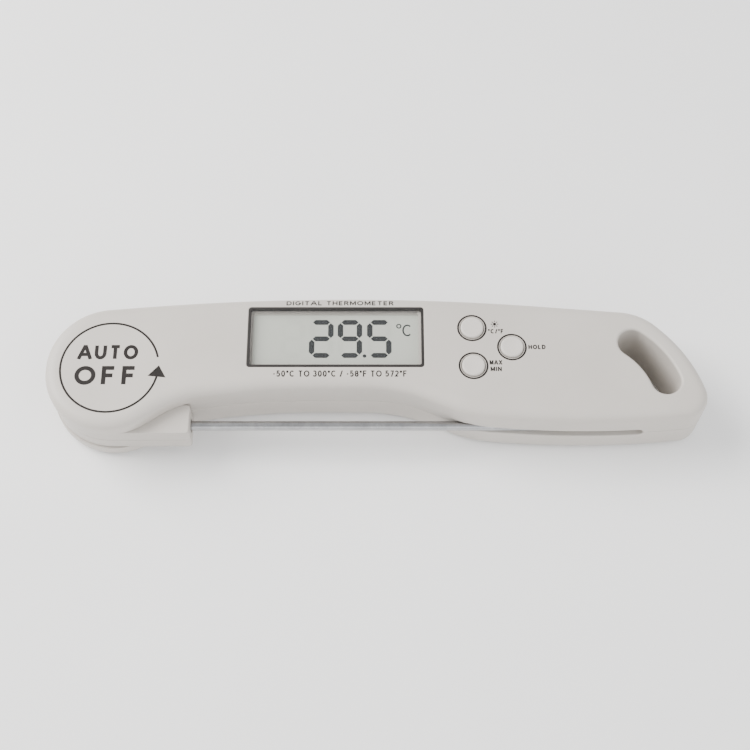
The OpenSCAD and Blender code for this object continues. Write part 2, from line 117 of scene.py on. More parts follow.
def rounded(corners, inset=0.0, error=0.004):
    """Closed outline through rounded corners (x, y, radius), listed clockwise, moved inwards by inset."""
    points = []
    for i, (x, y, radius) in enumerate(corners):
        p = Vector((x, y))
        a = (p - Vector(corners[i - 1][:2])).normalized()
        b = (Vector(corners[(i + 1) % len(corners)][:2]) - p).normalized()
        turn = math.atan2(a.x * b.y - a.y * b.x, a.dot(b))
        na, nb = Vector((a.y, -a.x)), Vector((b.y, -b.x))
        v = p + inset * (na + nb) / (1 + na.dot(nb))
        side = 1 if turn < 0 else -1
        r = radius - side * inset
        start = v - a * r * math.tan(abs(turn) / 2)
        centre = start + side * r * na
        first = start - centre
        steps = max(3, math.ceil(abs(turn) / math.sqrt(8 * error / radius)))
        for k in range(steps + 1):
            t = turn * k / steps
            points.append((
                centre.x + first.x * math.cos(t) - first.y * math.sin(t),
                centre.y + first.x * math.sin(t) + first.y * math.cos(t),
            ))
    return points


def round_rect(centre, length, width, radius, steps=8):
    """Rectangle with rounded corners, anticlockwise."""
    points = []
    for k, (sx, sy) in enumerate([(1, 1), (-1, 1), (-1, -1), (1, -1)]):
        for j in range(steps + 1):
            t = math.radians(90 * (k + j / steps))
            points.append((
                centre[0] + sx * (length / 2 - radius) + radius * math.cos(t),
                centre[1] + sy * (width / 2 - radius) + radius * math.sin(t),
            ))
    return points


def ring_points(centre, radius, steps=96):
    """Circle, anticlockwise."""
    points = []
    for k in range(steps):
        t = 2 * math.pi * k / steps
        points.append((centre[0] + radius * math.cos(t), centre[1] + radius * math.sin(t)))
    return points


def arc(cx, cy, rx, ry, start, end, steps=14):
    """Points along part of an ellipse, from one angle in degrees to another."""
    points = []
    for k in range(steps + 1):
        t = math.radians(start + (end - start) * k / steps)
        points.append((cx + rx * math.cos(t), cy + ry * math.sin(t)))
    return points


# The slot's middle line is an arc: its centre, radius, first and last angle, and the slot's width
SLOT_CENTRE, SLOT_ARC, SLOT_FROM, SLOT_TO, SLOT_W = (122.9, -10.9), 22.7, 18.7, 52.9, 7.7


def slot_points(grow=0.0, steps=24):
    """Round-ended slot bent along an arc, anticlockwise."""
    w = SLOT_W / 2 + grow
    ends = []
    for angle in (SLOT_FROM, SLOT_TO):
        t = math.radians(angle)
        ends.append((SLOT_CENTRE[0] + SLOT_ARC * math.cos(t), SLOT_CENTRE[1] + SLOT_ARC * math.sin(t)))
    outer, inner = SLOT_ARC + w, SLOT_ARC - w
    return (arc(*SLOT_CENTRE, outer, outer, SLOT_FROM, SLOT_TO, steps)
            + arc(*ends[1], w, w, SLOT_TO, SLOT_TO + 180, steps)
            + arc(*SLOT_CENTRE, inner, inner, SLOT_TO, SLOT_FROM, steps)
            + arc(*ends[0], w, w, SLOT_FROM + 180, SLOT_FROM + 360, steps))


# ---------------------------------------------------------------- meshes


def clean(mesh):
    """Welds points that coincide and turns the faces outwards."""
    b = bmesh.new()
    b.from_mesh(mesh)
    bmesh.ops.remove_doubles(b, verts=b.verts, dist=2e-7)
    bmesh.ops.dissolve_degenerate(b, edges=b.edges, dist=2e-7)
    bmesh.ops.recalc_face_normals(b, faces=b.faces)
    b.to_mesh(mesh)
    b.free()


def mesh_object(name, vertices, faces):
    """Object from points in millimetres from the hinge."""
    mesh = bpy.data.meshes.new(name)
    mesh.from_pydata([at(*v) for v in vertices], [], faces)
    clean(mesh)
    made = bpy.data.objects.new(name, mesh)
    bpy.context.scene.collection.objects.link(made)
    return made


def loft(name, loops):
    """Solid between closed loops that have the same number of points."""
    n = len(loops[0])
    vertices = [p for loop in loops for p in loop]
    faces = [tuple(range(n)), tuple(range((len(loops) - 1) * n, len(loops) * n))]
    for k in range(len(loops) - 1):
        for i in range(n):
            j = (i + 1) % n
            faces.append((k * n + i, k * n + j, (k + 1) * n + j, (k + 1) * n + i))
    return mesh_object(name, vertices, faces)


def flat(points, z):
    """Plan points lifted to one height."""
    return [(x, y, z) for x, y in points]


def prism(points, z0, z1, name="cutter"):
    """Upright solid with the same outline all the way up."""
    return loft(name, [flat(points, z0), flat(points, z1)])


def brick(x0, x1, y0, y1, z0, z1, name="cutter"):
    return prism([(x0, y0), (x1, y0), (x1, y1), (x0, y1)], z0, z1, name)


def disc(centre, radius, z0, z1, steps=64, name="cutter"):
    return prism(ring_points(centre, radius, steps), z0, z1, name)


# Radius of the small ring that closes a turned solid at its axis
AXIS_R = 0.0005


def lathe(name, centre, profile, steps=96):
    """Solid turned about the vertical through centre; profile is (radius, height) from end to end."""
    return loft(name, [flat(ring_points(centre, max(r, AXIS_R), steps), z) for r, z in profile])


def lathe_x(name, y, z, profile, steps=48):
    """Solid turned about a line along X; profile is (x, radius) from end to end."""
    loops = []
    for x, r in profile:
        loops.append([(x, *p) for p in ring_points((y, z), max(r, AXIS_R), steps)])
    return loft(name, loops)


def join(name, objects):
    """One object from several."""
    b = bmesh.new()
    for o in objects:
        b.from_mesh(o.data)
    mesh = bpy.data.meshes.new(name)
    b.to_mesh(mesh)
    b.free()
    for o in objects:
        bpy.data.objects.remove(o)
    made = bpy.data.objects.new(name, mesh)
    bpy.context.scene.collection.objects.link(made)
    return made


def combine(target, other, operation="DIFFERENCE", overlapping=False):
    """Cuts other from target, joins it on or keeps what they share, and removes it."""
    if isinstance(other, (list, tuple)):
        other = join("cutters", other) if len(other) > 1 else other[0]
    m = target.modifiers.new("combine", "BOOLEAN")
    m.operation, m.solver, m.object = operation, "EXACT", other
    m.use_self = overlapping
    evaluated = target.evaluated_get(bpy.context.evaluated_depsgraph_get())
    mesh = bpy.data.meshes.new_from_object(evaluated)
    target.modifiers.clear()
    target.data = mesh
    bpy.data.objects.remove(other)
    return target


def lip_cut(outline, lip, face, depth, up=True, steps=5):
    """Cutter whose wall rolls over into the face by lip; outline(grow) gives its points."""
    s = 1 if up else -1
    loops = [flat(outline(0), face - s * depth)]
    for k in range(steps + 1):
        t = math.pi / 2 * k / steps
        loops.append(flat(outline(lip * (1 - math.cos(t))), face - s * lip * (1 - math.sin(t))))
    loops.append(flat(outline(lip), face + s * 1))
    return loft("cutter", loops)


def crown(outline, face, in_by, drop, power=2.8, steps=14, up=True):
    """Loops of a softly domed edge, ending in the face."""
    s = 1 if up else -1
    loops = []
    for k in range(steps + 1):
        t = math.pi / 2 * k / steps
        c, h = max(math.cos(t), 0) ** (2 / power), math.sin(t) ** (2 / power)
        loops.append(flat(outline(in_by * (1 - c)), face - s * drop * (1 - h)))
    return loops


def smooth(obj, degrees=35):
    """Smooth shading with crisp edges above an angle."""
    obj.data.shade_smooth()
    obj.data.set_sharp_from_angle(angle=math.radians(degrees))
    m = obj.modifiers.new("normals", "WEIGHTED_NORMAL")
    m.keep_sharp = True
    return obj


# ---------------------------------------------------------------- materials


def new_material(name):
    """Empty material with its node tree and shader."""
    m = bpy.data.materials.new(name)
    m.use_nodes = True
    tree = m.node_tree
    return m, tree, tree.nodes["Principled BSDF"]


def add(tree, kind, **values):
    """New node with its sockets or settings filled in."""
    node = tree.nodes.new(kind)
    for key, value in values.items():
        if key in node.inputs:
            node.inputs[key].default_value = value
        else:
            setattr(node, key, value)
    return node


def ramp(tree, source, stops):
    """Colour that runs through stops as source goes from 0 to 1."""
    node = tree.nodes.new("ShaderNodeValToRGB")
    elements = node.color_ramp.elements
    while len(elements) < len(stops):
        elements.new(0.5)
    for element, (position, colour) in zip(elements, stops):
        element.position = position
        element.color = (*colour, 1)
    tree.links.new(source, node.inputs["Fac"])
    return node.outputs["Color"]


def surface(name, dark, light, scale, rough, grain, stretch=None, specular=0.5, metallic=0.0, sub=0.0):
    """Procedural finish: a slow colour drift from dark to light, a roughness that varies, and a fine grain.

    scale is the drift's, rough the lowest and highest roughness, grain the grain's scale and bump strength,
    stretch draws the grain out, and sub lets light into the surface.
    """
    m, tree, shader = new_material(name)
    place = add(tree, "ShaderNodeTexCoord")
    coords = place.outputs["Object"]
    if stretch:
        mapping = add(tree, "ShaderNodeMapping", Scale=stretch)
        tree.links.new(coords, mapping.inputs["Vector"])
        fine_coords = mapping.outputs["Vector"]
    else:
        fine_coords = coords
    drift = add(tree, "ShaderNodeTexNoise", Scale=scale, Detail=4.0, Roughness=0.6)
    tree.links.new(coords, drift.inputs["Vector"])
    tree.links.new(ramp(tree, drift.outputs["Fac"], [(0.3, dark), (0.7, light)]), shader.inputs["Base Color"])
    fine = add(tree, "ShaderNodeTexNoise", Scale=grain[0], Detail=3.0, Roughness=0.6)
    tree.links.new(fine_coords, fine.inputs["Vector"])
    level = add(tree, "ShaderNodeMapRange")
    level.inputs["To Min"].default_value, level.inputs["To Max"].default_value = rough
    tree.links.new(fine.outputs["Fac"], level.inputs["Value"])
    tree.links.new(level.outputs["Result"], shader.inputs["Roughness"])
    bump = add(tree, "ShaderNodeBump", Strength=grain[1], Distance=0.0001)
    tree.links.new(fine.outputs["Fac"], bump.inputs["Height"])
    tree.links.new(bump.outputs["Normal"], shader.inputs["Normal"])
    shader.inputs["Metallic"].default_value = metallic
    shader.inputs["Specular IOR Level"].default_value = specular
    if sub:
        shader.inputs["Subsurface Weight"].default_value = sub
        shader.inputs["Subsurface Radius"].default_value = (1.0, 0.9, 0.8)
        shader.inputs["Subsurface Scale"].default_value = 0.001
    return m


M = {
    "case": surface("case_abs", (0.475, 0.440, 0.400), (0.510, 0.475, 0.435), 45, (0.40, 0.52), (2600, 0.10)),
    "arm": surface("arm_abs", (0.460, 0.426, 0.387), (0.495, 0.461, 0.422), 45, (0.40, 0.52), (2600, 0.10)),
    "key": surface("key_silicone", (0.535, 0.500, 0.460), (0.570, 0.535, 0.495),
                   150, (0.50, 0.62), (4200, 0.06), sub=0.08),
    "ink": surface("legend_ink", (0.014, 0.012, 0.011), (0.022, 0.019, 0.018),
                   900, (0.55, 0.70), (6000, 0.05), specular=0.15),
    "bezel": surface("bezel_print", (0.018, 0.016, 0.015), (0.028, 0.025, 0.024),
                     300, (0.40, 0.52), (3000, 0.03), specular=0.25),
    "lcd": surface("lcd_face", (0.430, 0.440, 0.392), (0.460, 0.470, 0.420),
                   25, (0.40, 0.50), (5200, 0.015), specular=0.3),
    "segment": surface("lcd_segment", (0.010, 0.011, 0.012), (0.016, 0.017, 0.019),
                       400, (0.55, 0.70), (5200, 0.01), specular=0.1),
    "ghost": surface("lcd_unlit_segment", (0.412, 0.422, 0.375), (0.440, 0.450, 0.402),
                     60, (0.40, 0.50), (5200, 0.01), specular=0.3),
    "black": surface("black_nylon", (0.018, 0.018, 0.019), (0.030, 0.030, 0.031),
                     160, (0.42, 0.55), (2400, 0.10)),
    "guide": surface("light_guide_acrylic", (0.70, 0.72, 0.72), (0.80, 0.82, 0.82),
                     120, (0.15, 0.25), (1800, 0.02)),
    "board": surface("board_lacquer", (0.012, 0.075, 0.030), (0.020, 0.110, 0.045),
                     260, (0.28, 0.42), (1500, 0.12)),
    "chip": surface("epoxy_black", (0.010, 0.010, 0.011), (0.020, 0.020, 0.022),
                    500, (0.12, 0.26), (900, 0.10)),
    "ceramic": surface("chip_ceramic", (0.20, 0.115, 0.060), (0.34, 0.215, 0.125),
                       700, (0.35, 0.50), (3000, 0.08)),
    "reed": surface("reed_green_glass", (0.16, 0.30, 0.20), (0.24, 0.40, 0.28),
                    500, (0.05, 0.12), (900, 0.02)),
    "rubber": surface("seal_rubber", (0.022, 0.022, 0.023), (0.034, 0.034, 0.035),
                      400, (0.60, 0.75), (3200, 0.16)),
    "pad": surface("pad_rubber", (0.50, 0.485, 0.465), (0.56, 0.545, 0.525), 300, (0.55, 0.70), (3200, 0.10)),
    "carbon": surface("carbon_rubber", (0.012, 0.012, 0.013), (0.024, 0.024, 0.025),
                      800, (0.65, 0.80), (4200, 0.20)),
    "screw": surface("screw_steel", (0.46, 0.46, 0.47), (0.60, 0.60, 0.61),
                     700, (0.22, 0.36), (2600, 0.06), metallic=1.0),
    "probe": surface("probe_stainless", (0.30, 0.30, 0.305), (0.42, 0.42, 0.425),
                     240, (0.18, 0.32), (900, 0.10),
                      stretch=(0.35, 9.0, 9.0), metallic=1.0),
    "spring": surface("spring_steel", (0.40, 0.40, 0.41), (0.54, 0.54, 0.55),
                      500, (0.24, 0.38), (2200, 0.06), metallic=1.0),
    "cell": surface("cell_steel", (0.56, 0.555, 0.545), (0.66, 0.655, 0.645),
                    300, (0.18, 0.34), (1300, 0.08), metallic=1.0),
    "contact": surface("contact_gilt", (0.62, 0.46, 0.20), (0.74, 0.57, 0.27),
                       500, (0.22, 0.36), (2200, 0.06), metallic=1.0),
    "magnet": surface("magnet_nickel", (0.55, 0.54, 0.52), (0.67, 0.66, 0.64),
                      260, (0.14, 0.30), (1500, 0.06), metallic=1.0),
    "bush": surface("bush_bronze", (0.36, 0.23, 0.11), (0.50, 0.33, 0.17),
                    900, (0.35, 0.52), (1600, 0.12), metallic=1.0),
    "bead": surface("sensor_epoxy", (0.010, 0.011, 0.013), (0.022, 0.023, 0.026),
                    900, (0.15, 0.30), (2200, 0.05)),
    "sleeve": surface("lead_sleeve", (0.30, 0.022, 0.018), (0.42, 0.036, 0.028),
                      700, (0.32, 0.46), (2600, 0.06)),
}


def window_material():
    """Clear window: a thin pane that shows what is under it, with soft scratches in its gloss."""
    m, tree, shader = new_material("window_acrylic")
    place = add(tree, "ShaderNodeTexCoord")
    haze = add(tree, "ShaderNodeTexNoise", Scale=90.0, Detail=5.0, Roughness=0.6)
    tree.links.new(place.outputs["Object"], haze.inputs["Vector"])
    colour = ramp(tree, haze.outputs["Fac"], [(0.3, (0.20, 0.21, 0.205)), (0.7, (0.26, 0.27, 0.265))])
    tree.links.new(colour, shader.inputs["Base Color"])
    level = add(tree, "ShaderNodeMapRange")
    level.inputs["To Min"].default_value, level.inputs["To Max"].default_value = 0.03, 0.10
    tree.links.new(haze.outputs["Fac"], level.inputs["Value"])
    tree.links.new(level.outputs["Result"], shader.inputs["Roughness"])
    shader.inputs["IOR"].default_value = 2.2
    shader.inputs["Alpha"].default_value = 0.05
    return m


M["window"] = window_material()


def finish(obj, name, material, body, replaces=(), shade=35):
    """Names a piece, gives it its material in one slot, smooth shading and its body, and hides the CAD nodes
    it stands for.
    """
    obj.name = name
    obj.data.name = name
    obj.data.materials.clear()
    obj.data.materials.append(M[material])
    for polygon in obj.data.polygons:
        polygon.material_index = 0
    if shade:
        smooth(obj, shade)
    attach(obj, body)
    if replaces:
        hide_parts(*replaces)
    return obj


# ---------------------------------------------------------------- case

# Screws, board posts and magnets in plan, the wall and skin of the case, and the parting line's depth
SCREWS = [(24.5, 14.3), (25.5, -2.4), (87, 15.8), (88, -4.6), (129.2, 11), (128, -5.4), (150.2, -9.4)]
POSTS = [(31.5, 15), (31.5, -0.2), (107.6, -3.6)]
MAGNETS = [(42, 7.5), (74, 7.5)]
WALL, SKIN = 2.2, 1.8
FACE = TOP - SKIN
BOARD_TOP = heights("circuit_board")[1]
HUB_LO, HUB_HI = heights("probe_arm_back")[1] - 4.5, heights("probe_arm_front")[0] + 4.5
PARTING = 0.22


def case_outline(inset=0.0):
    """The case's outline, moved inwards by inset."""
    return rounded(OUTLINE, inset)


def bay(z0, z1):
    """Space for the electronics."""
    solid = prism(case_outline(WALL), z0, z1)
    combine(solid, disc((0, 0), 19.4, z0 - 1, z1 + 1, 128))
    combine(solid, brick(-40, 23.4, -40, -5.9, z0 - 2, z1 + 2))
    combine(solid, brick(78, 180, -40, -8.6, z0 - 1, z1 + 1))
    combine(solid, brick(130.4, 180, -40, 40, z0 - 2, z1 + 2))
    return solid


def hinge_room(z0, z1):
    """Room for the hub and the arm."""
    solid = disc((0, 0), 17.2, z0, z1, 128)
    combine(solid, brick(-23, 4, 0, 24, z0, z1), "UNION")
    combine(solid, brick(0, 21.2, -24, -8.1, z0, z1), "UNION")
    return solid


GROOVE_FROM, GROOVE_TO, GROOVE_TOP, GROOVE_HALF = 78, 139, -10.8, 1.6


def lower_edge(x):
    """The outline's lower side at x, right of the finger recess."""
    points = sorted((px, py) for px, py in case_outline() if py < -9 and px > 80)
    for (x0, y0), (x1, y1) in zip(points, points[1:]):
        if x0 <= x <= x1:
            return y0 + (y1 - y0) * (x - x0) / max(x1 - x0, 1e-9)
    return points[0][1]


def slit(x0, x1, y0, y1, half):
    """Slot along X with one round end, cut through in Y."""
    section = [(x0, -half), (x1 - half, -half)]
    for k in range(1, 16):
        t = math.radians(-90 + 180 * k / 16)
        section.append((x1 - half + half * math.cos(t), half * math.sin(t)))
    section += [(x1 - half, half), (x0, half)]
    return loft("cutter", [[(x, y, MID + z) for x, z in section] for y in (y0, y1)])


def groove_mouth(lip=0.35, steps=4, count=60):
    """Rolls the groove's edges over into the lower side, following the outline."""
    start, end, outside = 93, GROOVE_TO + lip, 0.6
    loops = []
    for i in range(count + 1):
        x = start + (end - start) * i / count
        edge = lower_edge(min(x, end))
        over = max(0.0, x - (GROOVE_TO - GROOVE_HALF))
        section = []
        for k in range(steps + 1):
            t = math.pi / 2 * k / steps
            half = GROOVE_HALF + lip * (1 - math.sin(t))
            section.append((edge + lip * (1 - math.cos(t)), math.sqrt(max(half ** 2 - over ** 2, 0.0004))))
        section.insert(0, (edge - outside, section[0][1]))
        loops.append([(x, y, MID + z) for y, z in section] + [(x, y, MID - z) for y, z in section[::-1]])
    return loft("cutter", loops)


front = loft("front", [flat(case_outline(PARTING), MID), flat(case_outline(0), MID + PARTING * 1.2)]
             + crown(case_outline, TOP, 3.8, 2.9, 2.6))
hollow = bay(MID - 1, FACE)
combine(hollow, [disc(p, 2.6, MID - 2, FACE + 1, 48) for p in SCREWS[:6]])
combine(hollow, [disc(p, 1.8, BOARD_TOP, FACE + 1, 40) for p in POSTS])
combine(front, hollow)
combine(front, hinge_room(MID - 1, HUB_HI + 0.15))
combine(front, disc((0, 0), 5.4, HUB_HI - 1, FACE, 64))
combine(front, brick(0, 20.4, -1.3, 1.3, HUB_HI - 1, FACE))
combine(front, slit(GROOVE_FROM, GROOVE_TO, -40, GROOVE_TOP, GROOVE_HALF))
combine(front, groove_mouth())
combine(front, lip_cut(lambda g: round_rect(WINDOW, 46.3 + 2 * g, 17.6 + 2 * g, 0.8 + g), 0.18, TOP, 1.2))
combine(front, prism(round_rect(WINDOW, 43.6, 14.9, 0.6), FACE - 1, TOP + 1))
combine(front, [lip_cut(lambda g, p=p: ring_points(p, 3.15 + g), 0.25, TOP, 4) for p in KEYS.values()])
combine(front, [disc(p, 1.0, MID - 1, MID + 5.5, 32) for p in SCREWS]
        + [disc(p, 0.82, BOARD_TOP - 1, BOARD_TOP + 2.5, 24) for p in POSTS])
combine(front, lip_cut(slot_points, 0.8, TOP, 12))
finish(front, "front_shell", "case", "case", ["front_case"])

back = loft("back", crown(case_outline, 0, 3.4, 2.5, 2.5, up=False)[::-1]
            + [flat(case_outline(0), MID - PARTING * 1.2), flat(case_outline(PARTING), MID)])
hollow = bay(SKIN, MID + 1)
combine(hollow, [disc(p, 2.6, SKIN - 1, MID + 2, 48) for p in SCREWS[:6]])
combine(hollow, disc(BATTERY, 13.2, SKIN - 1, 5.2, 96))
combine(hollow, [disc(p, 6.2, SKIN - 1, SKIN + 1.4, 64) for p in MAGNETS])
combine(back, hollow)
combine(back, hinge_room(HUB_LO - 0.15, MID + 1))
combine(back, disc((0, 0), 5.4, SKIN, HUB_LO, 64))
combine(back, disc((0, 0), 9.2, HUB_LO - 0.65, HUB_LO + 1, 96))
combine(back, slit(GROOVE_FROM, GROOVE_TO, -40, GROOVE_TOP, GROOVE_HALF))
combine(back, groove_mouth())
combine(back, lip_cut(lambda g: ring_points(BATTERY, 12.5 + g, 128), 0.3, 0, 2.35, up=False))
combine(back, disc(BATTERY, 11.2, 1, 6.2, 128))
combine(back, [lip_cut(lambda g, p=p: ring_points(p, 5.05 + g, 72), 0.2, 0, 2.0, up=False) for p in MAGNETS])
combine(back, [lip_cut(lambda g, p=p: ring_points(p, 2.05 + g, 48), 0.25, 0, 3.0, up=False) for p in SCREWS])
combine(back, [disc(p, 1.15, 2, MID + 1, 32) for p in SCREWS])
combine(back, lip_cut(slot_points, 0.8, 0, 12, up=False))
finish(back, "back_shell", "case", "case", ["back_case"])

# ---------------------------------------------------------------- display

bezel_lo, bezel_hi = heights("display_bezel")
bezel_edge = [(0, bezel_lo), (0, bezel_hi - 0.1), (0.03, bezel_hi - 0.03), (0.1, bezel_hi)]
bezel = loft("bezel", [flat(round_rect(WINDOW, 46.26 - 2 * i, 17.56 - 2 * i, 0.78 - i), z)
                       for i, z in bezel_edge])
combine(bezel, prism(round_rect(WINDOW, 44.9, 16.2, 0.5), bezel_lo - 1, bezel_hi + 1))
finish(bezel, "window_frame", "bezel", "case", ["display_bezel"])

lens_lo, lens_hi = heights("display_window")
lens = loft("lens", [flat(round_rect(WINDOW, 44.84 - 2 * i, 16.14 - 2 * i, 0.47 - i), z)
                     for i, z in [(0, lens_lo), (0, lens_hi - 0.1), (0.1, lens_hi)]])
finish(lens, "window_pane", "window", "case", ["display_window"])

LCD_TOP = heights("lcd_panel")[1]
LCD_LO, LCD_HI = LCD_TOP - 0.02, LCD_TOP + 0.03


def plates(name, polygons, z0, z1, material):
    """Thin printed shapes, given as polygons."""
    return finish(join(name, [prism(p, z0, z1) for p in polygons]), name, material, "case", shade=None)


def segment(x0, y0, x1, y1, half):
    """Bar with pointed ends from one end point to the other."""
    a, b = Vector((x0, y0)), Vector((x1, y1))
    u = (b - a).normalized()
    v = Vector((-u.y, u.x))
    corners = (a, a + (u - v) * half, b - (u + v) * half, b, b + (v - u) * half, a + (u + v) * half)
    return [tuple(p) for p in corners]


def digit(x, lit, low, high, width=6.45, half=0.72, gap=0.24):
    """Seven bars of one digit, split into lit and unlit ones."""
    left, right, mid = x + half, x + width - half, (low + high) / 2
    low, high = low + half, high - half
    ends = {
        "a": (left + gap, high, right - gap, high),
        "b": (right, high - gap, right, mid + gap),
        "c": (right, mid - gap, right, low + gap),
        "d": (left + gap, low, right - gap, low),
        "e": (left, mid - gap, left, low + gap),
        "f": (left, high - gap, left, mid + gap),
        "g": (left + gap, mid, right - gap, mid),
    }
    on = [segment(*ends[s], half) for s in "abcdefg" if s in lit]
    off = [segment(*ends[s], half) for s in "abcdefg" if s not in lit]
    return on, off


def band(path, width, z0, z1, closed=False):
    """Flat line of a given width along a path, with mitred corners."""
    points = [Vector(p) for p in path]
    if closed and (points[0] - points[-1]).length < 1e-6:
        points.pop()
    n = len(points)
    vertices, faces = [], []
    for i, p in enumerate(points):
        before = points[i - 1] if closed or i else None
        after = points[(i + 1) % n] if closed or i < n - 1 else None
        a = (p - before).normalized() if before is not None else (after - p).normalized()
        b = (after - p).normalized() if after is not None else a
        na, nb = Vector((-a.y, a.x)), Vector((-b.y, b.x))
        side = (na + nb) / max(1 + na.dot(nb), 0.25) * width / 2
        for q, z in ((p + side, z0), (p + side, z1), (p - side, z1), (p - side, z0)):
            vertices.append((q.x, q.y, z))
    for i in range(n if closed else n - 1):
        j = (i + 1) % n
        for k in range(4):
            faces.append((4 * i + k, 4 * i + (k + 1) % 4, 4 * j + (k + 1) % 4, 4 * j + k))
    if not closed:
        faces += [(0, 1, 2, 3), (4 * n - 4, 4 * n - 3, 4 * n - 2, 4 * n - 1)]
    return mesh_object("band", vertices, faces)


# Plain block letters: width for a height of 1, and centre lines in a unit box; what runs past it is cut off
LETTERS = {
    " ": (0.28, []),
    "A": (0.85, [[(-0.06, -0.12), (0.5, 1.12), (1.06, -0.12)], [(0.18, 0.3), (0.82, 0.3)]]),
    "C": (0.75, [arc(0.5, 0.5, 0.5, 0.5, 48, 312)]),
    "D": (0.68, [[(0, 0), (0.4, 0)] + arc(0.4, 0.5, 0.6, 0.5, -84, 84) + [(0.4, 1), (0, 1), (0, 0)]]),
    "E": (0.52, [[(1, 0), (0, 0), (0, 1), (1, 1)], [(0, 0.51), (0.88, 0.51)]]),
    "F": (0.52, [[(0, -0.1), (0, 1), (1, 1)], [(0, 0.5), (0.88, 0.5)]]),
    "G": (0.78, [arc(0.5, 0.5, 0.5, 0.5, 48, 330) + [(1, 0.46), (0.58, 0.46)]]),
    "H": (0.64, [[(0, -0.1), (0, 1.1)], [(1, -0.1), (1, 1.1)], [(0, 0.5), (1, 0.5)]]),
    "I": (0.0, [[(0.5, -0.1), (0.5, 1.1)]]),
    "L": (0.5, [[(0, 1.1), (0, 0), (1, 0)]]),
    "M": (0.82, [[(0, -0.1), (0, 1.1)], [(1, -0.1), (1, 1.1)], [(-0.03, 1.1), (0.5, 0.12), (1.03, 1.1)]]),
    "N": (0.68, [[(0, -0.1), (0, 1.1)], [(1, -0.1), (1, 1.1)], [(-0.04, 1.1), (1.04, -0.1)]]),
    "O": (0.86, [arc(0.5, 0.5, 0.5, 0.5, 0, 360, 40)]),
    "R": (0.58, [[(0, -0.1), (0, 1), (0.5, 1)] + arc(0.5, 0.76, 0.45, 0.24, 84, -84)
                 + [(0.5, 0.52), (0, 0.52)], [(0.5, 0.52), (1.08, -0.12)]]),
    "T": (0.66, [[(0, 1), (1, 1)], [(0.5, 1), (0.5, -0.1)]]),
    "U": (0.66, [[(0, 1.1), (0, 0.42)] + arc(0.5, 0.42, 0.5, 0.42, 186, 354) + [(1, 0.42), (1, 1.1)]]),
    "X": (0.7, [[(-0.06, -0.1), (1.06, 1.1)], [(-0.06, 1.1), (1.06, -0.1)]]),
    "0": (0.52, [arc(0.5, 0.5, 0.5, 0.5, 0, 360, 32)]),
    "2": (0.5, [arc(0.5, 0.71, 0.48, 0.29, 165, -30) + [(0.04, 0), (1, 0)]]),
    "3": (0.5, [arc(0.42, 0.76, 0.48, 0.24, 150, -80), arc(0.42, 0.26, 0.56, 0.26, 80, -150)]),
    "5": (0.5, [[(0.92, 1), (0.14, 1), (0.06, 0.54)] + arc(0.44, 0.32, 0.54, 0.32, 128, -142)]),
    "7": (0.5, [[(0, 1), (1, 1), (0.3, -0.12)]]),
    "8": (0.5, [arc(0.5, 0.76, 0.44, 0.24, 0, 360, 24), arc(0.5, 0.26, 0.5, 0.26, 0, 360, 24)]),
    "-": (0.26, [[(0, 0.42), (1, 0.42)]]),
    "/": (0.36, [[(-0.05, -0.1), (1.05, 1.1)]]),
    "°": (0.22, [arc(0.5, 0.87, 0.5, 0.13, 0, 360, 16)]),
}


def words(text, box, weight, z0, z1, gap=0.2):
    """Printed words that fill box (x0, x1, y0, y1) in lines of a given weight."""
    x0, x1, y0, y1 = box
    high = y1 - y0
    widths = [LETTERS[c][0] * high for c in text]
    drawn = weight * sum(c != " " for c in text)
    stretch = (x1 - x0 - drawn) / (sum(widths) + gap * high * (len(text) - 1))
    bands, x = [], x0
    for c, w in zip(text, widths):
        left, low = x + weight / 2, y0 + weight / 2
        for path in LETTERS[c][1]:
            points = [(left + px * w * stretch, low + py * (high - weight)) for px, py in path]
            closed = (Vector(path[0]) - Vector(path[-1])).length < 1e-6
            bands.append(band(points, weight, z0, z1, closed))
        x += w * stretch + (0 if c == " " else weight) + gap * high * stretch
    made = join("words", bands)
    return combine(made, brick(x0 - 1, x1 + 1, y0, y1, z0 - 1, z1 + 1), "INTERSECT", overlapping=True)


def drape(obj, onto, step=0.2, above=50):
    """Lays a print on the rounded surface below it, cut into strips that can follow the curve."""
    b = bmesh.new()
    b.from_mesh(obj.data)
    ys = [v.co.y for v in b.verts]
    y = min(ys) + step * MM
    while y < max(ys):
        bmesh.ops.bisect_plane(b, geom=b.verts[:] + b.edges[:] + b.faces[:], dist=1e-7,
                               plane_co=(0, y, 0), plane_no=(0, 1, 0))
        y += step * MM
    b.to_mesh(obj.data)
    b.free()
    tree = BVHTree.FromObject(onto, bpy.context.evaluated_depsgraph_get())
    for v in obj.data.vertices:
        hit = tree.ray_cast(Vector((v.co.x, v.co.y, above * MM)), Vector((0, 0, -1)))[0]
        v.co.z += hit.z - TOP * MM
    return obj


# The reading: four places, with the bars that are on in each, and a decimal point
lit, unlit = [], []
DIGITS_LOW, DIGITS_HIGH = 3.55, 14.75
for x, bars in [(44.1, ""), (51.6, "abged"), (59.15, "abcdfg"), (66.9, "acdfg")]:
    on, off = digit(x, bars, DIGITS_LOW, DIGITS_HIGH)
    lit += on
    unlit += off
lit.append(ring_points((66.25, DIGITS_LOW + 0.55), 0.5, 20))
plates("reading_bars", lit, LCD_LO, LCD_HI, "segment")
plates("unlit_bars", unlit, LCD_LO, LCD_TOP + 0.012, "ghost")

# ---------------------------------------------------------------- keys

